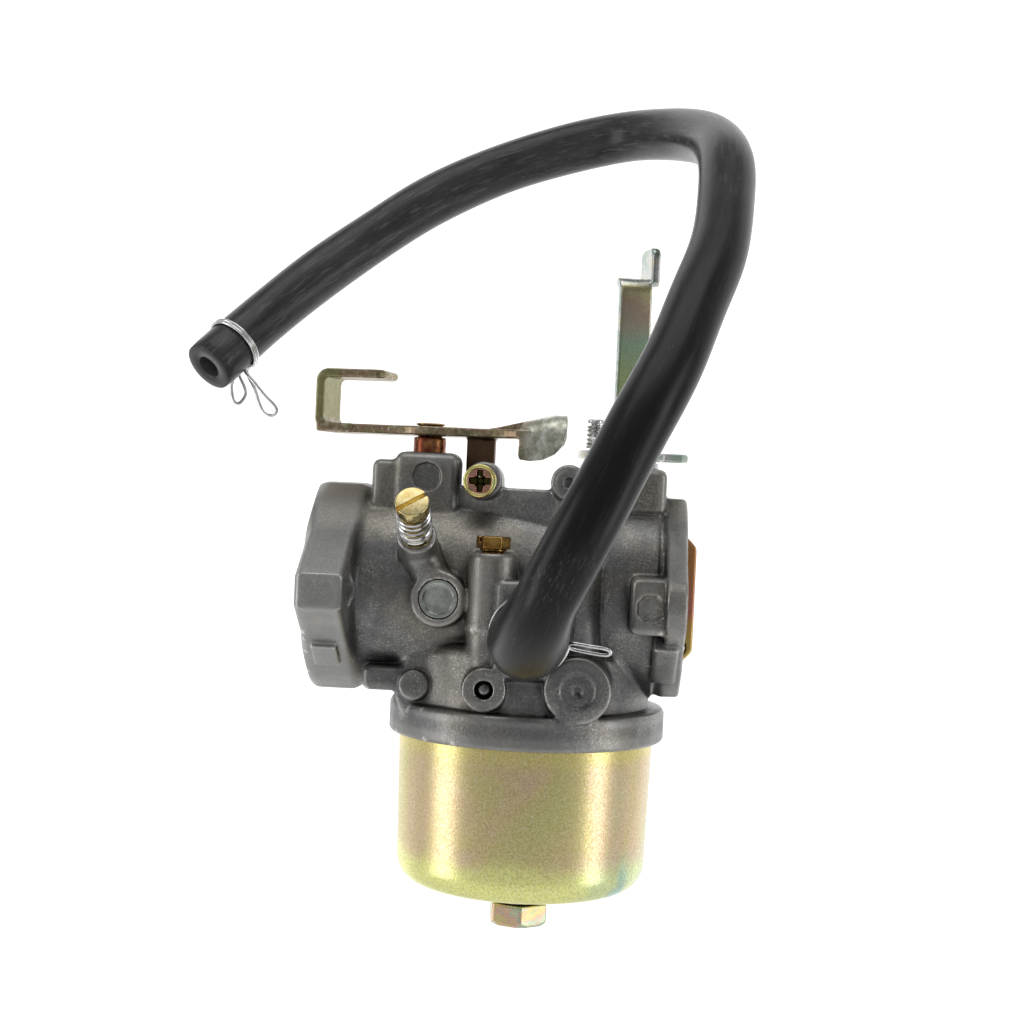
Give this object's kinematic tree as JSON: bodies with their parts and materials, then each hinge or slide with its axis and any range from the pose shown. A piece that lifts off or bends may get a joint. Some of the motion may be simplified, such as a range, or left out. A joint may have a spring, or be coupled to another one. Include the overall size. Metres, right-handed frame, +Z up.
{
  "type": "float bowl carburetor",
  "caption": "Float-bowl carburetor for a small engine, with throttle and choke levers, adjusting screws and an arched rubber fuel hose.",
  "frame": {"origin": "centre of the throttle bore on the engine flange's face", "axes": "+X runs along the bore from the engine flange to the air-cleaner flange, +Z points up along the shafts, and the fuel inlet and adjusting screws face -Y"},
  "size_m": [0.104, 0.101, 0.1566],
  "materials": {
    "casting": "as-cast, weathered grey with warm stains",
    "zinc_plate": "yellow passivated zinc, iridescent",
    "bronze_shaft": "bronze-brown passivated, satin",
    "brass": "machined",
    "steel": "bright, lightly worn",
    "black_rubber": "satin black, dusty",
    "black_plastic": "moulded, matte"
  },
  "bodies": {
    "carburetor": {"carb_body": "casting", "float_bowl": "zinc_plate", "bowl_gasket": "black_rubber", "bowl_bolt": "zinc_plate", "bowl_bolt_washer": "zinc_plate", "main_jet": "brass", "main_nozzle": "brass", "pilot_jet": "brass", "sealing_plug": "steel", "passage_plug_ball": "steel", "needle_seat": "brass", "float_pin": "steel", "fuel_nipple": "steel", "choke_shaft_washer": "steel", "choke_friction_pin": "steel", "choke_friction_spring": "steel", "mixture_screw_spring": "steel", "fuel_hose": "black_rubber", "lower_hose_clip": "steel", "upper_hose_clip": "steel"},
    "throttle": {"throttle_shaft": "bronze_shaft", "throttle_plate": "brass", "throttle_plate_screw_lower": "steel", "throttle_plate_screw_upper": "steel", "throttle_lever": "zinc_plate"},
    "choke": {"choke_shaft": "steel", "choke_plate": "bronze_shaft", "choke_plate_screw_lower": "steel", "choke_plate_screw_upper": "steel", "choke_lever": "zinc_plate"},
    "stop_screw": {"throttle_stop_screw": "zinc_plate"},
    "mixture_screw_body": {"mixture_screw": "brass"},
    "float_body": {"float": "black_plastic"},
    "needle_body": {"needle_valve": "brass"}
  },
  "joints": [
    {"name": "throttle_turn", "type": "hinge", "parent": "carburetor", "child": "throttle", "pos_m": [0.0191, 0, 0], "axis": [0, 0, 1], "range_deg": [0, 75]},
    {"name": "choke_turn", "type": "hinge", "parent": "carburetor", "child": "choke", "pos_m": [0.0572, 0, 0], "axis": [0, 0, 1], "range_deg": [-80, 0]},
    {"name": "stop_screw_turn", "type": "hinge", "parent": "carburetor", "child": "stop_screw", "pos_m": [0.0298, 0, 0.02], "axis": [0, -1, 0], "range_deg": [-360, 360]},
    {"name": "mixture_screw_turn", "type": "hinge", "parent": "carburetor", "child": "mixture_screw_body", "pos_m": [0.0198, -0.022, 0.0102], "axis": [0, -0.8434, 0.5373], "range_deg": [-360, 360]},
    {"name": "float_rise", "type": "hinge", "parent": "carburetor", "child": "float_body", "pos_m": [0.0405, -0.0193, -0.0226], "axis": [1, 0, 0], "range_deg": [0, 8]},
    {"name": "needle_lift", "type": "slide", "parent": "carburetor", "child": "needle_body", "axis": [0, 0, 1], "range_m": [0, 0.00053]}
  ],
  "couplings": [
    {"joint": "needle_lift", "follows": "float_rise", "m_per_rad": 0.0037958}
  ]
}
